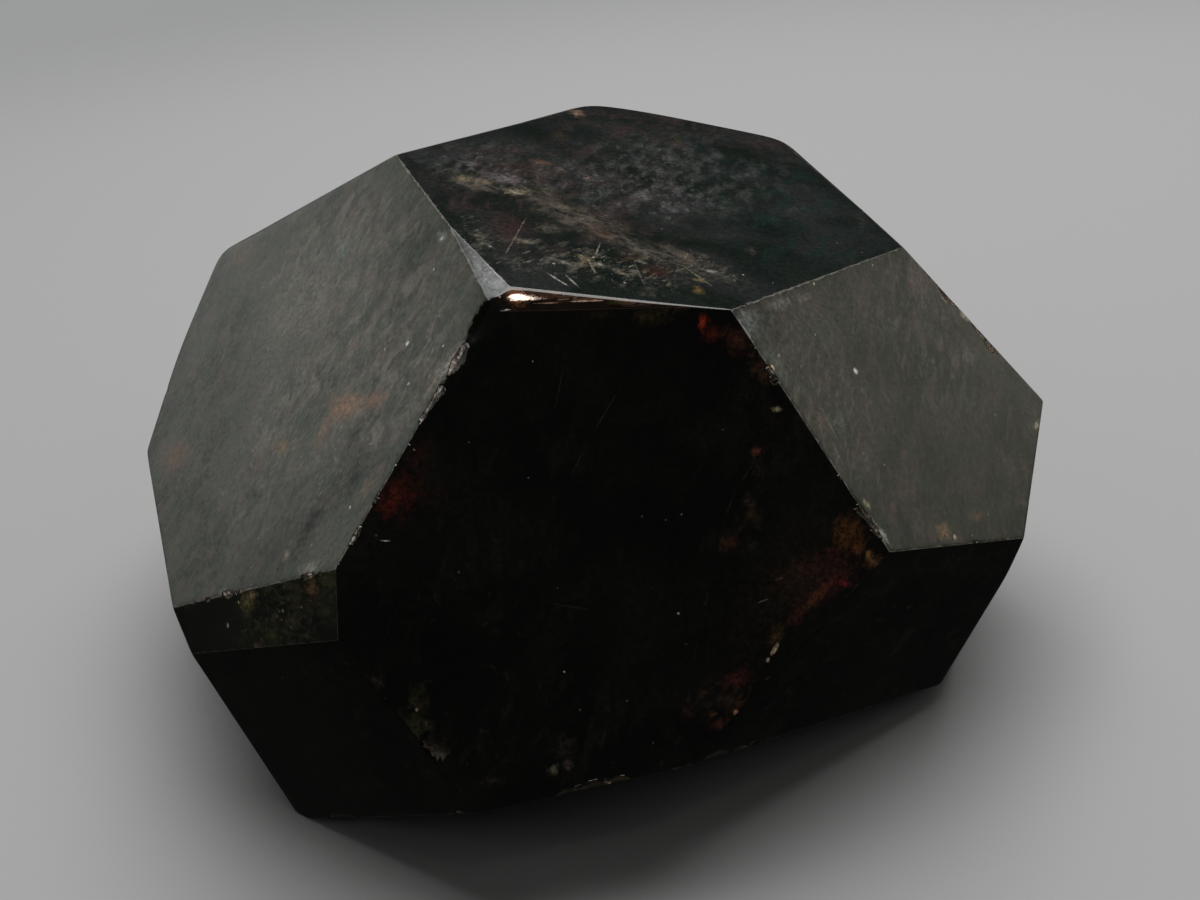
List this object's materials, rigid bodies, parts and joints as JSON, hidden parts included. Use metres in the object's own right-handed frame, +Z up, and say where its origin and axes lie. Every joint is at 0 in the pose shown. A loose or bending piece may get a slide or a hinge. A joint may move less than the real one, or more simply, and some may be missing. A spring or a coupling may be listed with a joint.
{
  "type": "garnet crystal",
  "caption": "Polished dark red-black garnet crystal with large flat faces, worn edges and small chips; stands on a flat base as a mineral specimen.",
  "frame": {"origin": "on the resting surface, under the middle of the crystal's box", "axes": "+Z up, +X along the crystal's longest side, -Y towards the large front face"},
  "size_m": [0.0575, 0.0524, 0.0317],
  "materials": {
    "garnet": "polished near-black stone with deep red glints and satin upper faces"
  },
  "bodies": {
    "root": {"garnet_crystal": "garnet"}
  },
  "joints": []
}
